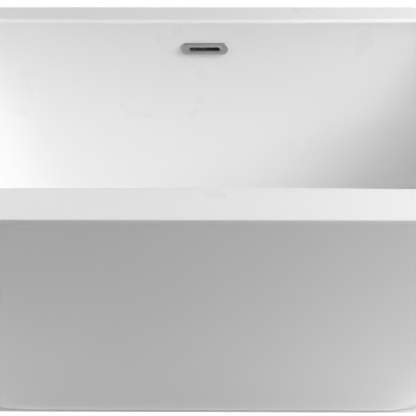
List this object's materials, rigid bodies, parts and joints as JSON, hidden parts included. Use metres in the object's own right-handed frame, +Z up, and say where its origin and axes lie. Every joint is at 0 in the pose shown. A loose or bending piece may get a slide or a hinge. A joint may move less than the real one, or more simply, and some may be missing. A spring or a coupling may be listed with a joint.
{
  "type": "freestanding bathtub",
  "caption": "Freestanding double-shell acrylic bathtub with round ends, wide flat rim, slotted overflow in the long wall, sprung drain stopper and a steel frame on levelling feet.",
  "frame": {"origin": "on the floor under the middle of the tub", "axes": "+X along the tub, +Y towards the long side with the overflow, +Z up"},
  "size_m": [1.7, 0.75, 0.59],
  "materials": {
    "white_acrylic": "glossy white sanitary acrylic",
    "fibreglass": "rough sprayed resin and glass fibre",
    "plywood": "sealed plywood",
    "galvanized_steel": "dull galvanized",
    "zinc_steel": "bright zinc plated",
    "brushed_nickel": "fine brushed",
    "brass": "machined",
    "black_rubber": "matt",
    "grey_plastic": "moulded PVC"
  },
  "bodies": {
    "tub": {"basin": "white_acrylic", "basin_backing": "fibreglass", "outer_skirt": "white_acrylic", "skirt_backing": "fibreglass", "base_board": "plywood", "frame_rail_front": "galvanized_steel", "frame_rail_rear": "galvanized_steel", "cross_channel_left": "galvanized_steel", "cross_channel_right": "galvanized_steel", "rail_screw_front_left": "zinc_steel", "rail_screw_front_right": "zinc_steel", "rail_screw_rear_left": "zinc_steel", "rail_screw_rear_right": "zinc_steel", "channel_bolt_front_left": "zinc_steel", "channel_bolt_front_right": "zinc_steel", "channel_bolt_rear_left": "zinc_steel", "channel_bolt_rear_right": "zinc_steel", "skirt_bracket_front_left": "galvanized_steel", "skirt_bracket_front_right": "galvanized_steel", "skirt_bracket_rear_left": "galvanized_steel", "skirt_bracket_rear_right": "galvanized_steel", "foot_lock_nut_front_left": "zinc_steel", "foot_lock_nut_front_right": "zinc_steel", "foot_lock_nut_rear_left": "zinc_steel", "foot_lock_nut_rear_right": "zinc_steel", "overflow_cover": "brushed_nickel", "overflow_faceplate": "zinc_steel", "overflow_screw_left": "zinc_steel", "overflow_screw_right": "zinc_steel", "overflow_gasket": "black_rubber", "overflow_housing": "grey_plastic", "overflow_union_nut": "grey_plastic", "overflow_hose": "grey_plastic", "drain_flange": "brushed_nickel", "drain_seal": "black_rubber", "drain_washer": "black_rubber", "drain_body": "grey_plastic", "drain_hose_nut": "grey_plastic", "tailpiece": "grey_plastic", "tailpiece_washer": "black_rubber", "tailpiece_nut": "grey_plastic", "stopper_barrel": "brass", "stopper_spring": "zinc_steel"},
    "stopper": {"stopper_cap": "brushed_nickel", "stopper_seal": "black_rubber", "stopper_plunger": "brass"},
    "foot_front_left": {"foot_pad_front_left": "black_rubber"},
    "foot_stem_front_left": {"foot_stem_front_left": "zinc_steel"},
    "foot_front_right": {"foot_pad_front_right": "black_rubber"},
    "foot_stem_front_right": {"foot_stem_front_right": "zinc_steel"},
    "foot_rear_left": {"foot_pad_rear_left": "black_rubber"},
    "foot_stem_rear_left": {"foot_stem_rear_left": "zinc_steel"},
    "foot_rear_right": {"foot_pad_rear_right": "black_rubber"},
    "foot_stem_rear_right": {"foot_stem_rear_right": "zinc_steel"}
  },
  "joints": [
    {"name": "stopper_press", "type": "slide", "parent": "tub", "child": "stopper", "axis": [0, 0, 1], "range_m": [-0.009, 0], "stiffness_N_per_m": 400, "springref_m": 0.005, "deforming": ["stopper_spring"]},
    {"name": "foot_front_left_height", "type": "slide", "parent": "tub", "child": "foot_front_left", "axis": [0, 0, 1], "range_m": [-0.015, 0.003]},
    {"name": "foot_front_left_turn", "type": "hinge", "parent": "foot_front_left", "child": "foot_stem_front_left", "pos_m": [-0.35, -0.235, 0.05], "axis": [0, 0, 1], "range_deg": [-3090, 620]},
    {"name": "foot_front_right_height", "type": "slide", "parent": "tub", "child": "foot_front_right", "axis": [0, 0, 1], "range_m": [-0.015, 0.003]},
    {"name": "foot_front_right_turn", "type": "hinge", "parent": "foot_front_right", "child": "foot_stem_front_right", "pos_m": [0.35, -0.235, 0.05], "axis": [0, 0, 1], "range_deg": [-3090, 620]},
    {"name": "foot_rear_left_height", "type": "slide", "parent": "tub", "child": "foot_rear_left", "axis": [0, 0, 1], "range_m": [-0.015, 0.003]},
    {"name": "foot_rear_left_turn", "type": "hinge", "parent": "foot_rear_left", "child": "foot_stem_rear_left", "pos_m": [-0.35, 0.235, 0.05], "axis": [0, 0, 1], "range_deg": [-3090, 620]},
    {"name": "foot_rear_right_height", "type": "slide", "parent": "tub", "child": "foot_rear_right", "axis": [0, 0, 1], "range_m": [-0.015, 0.003]},
    {"name": "foot_rear_right_turn", "type": "hinge", "parent": "foot_rear_right", "child": "foot_stem_rear_right", "pos_m": [0.35, 0.235, 0.05], "axis": [0, 0, 1], "range_deg": [-3090, 620]}
  ],
  "couplings": [
    {"joint": "foot_front_left_turn", "follows": "foot_front_left_height", "rad_per_m": 3590.4},
    {"joint": "foot_front_right_turn", "follows": "foot_front_right_height", "rad_per_m": 3590.4},
    {"joint": "foot_rear_left_turn", "follows": "foot_rear_left_height", "rad_per_m": 3590.4},
    {"joint": "foot_rear_right_turn", "follows": "foot_rear_right_height", "rad_per_m": 3590.4}
  ]
}
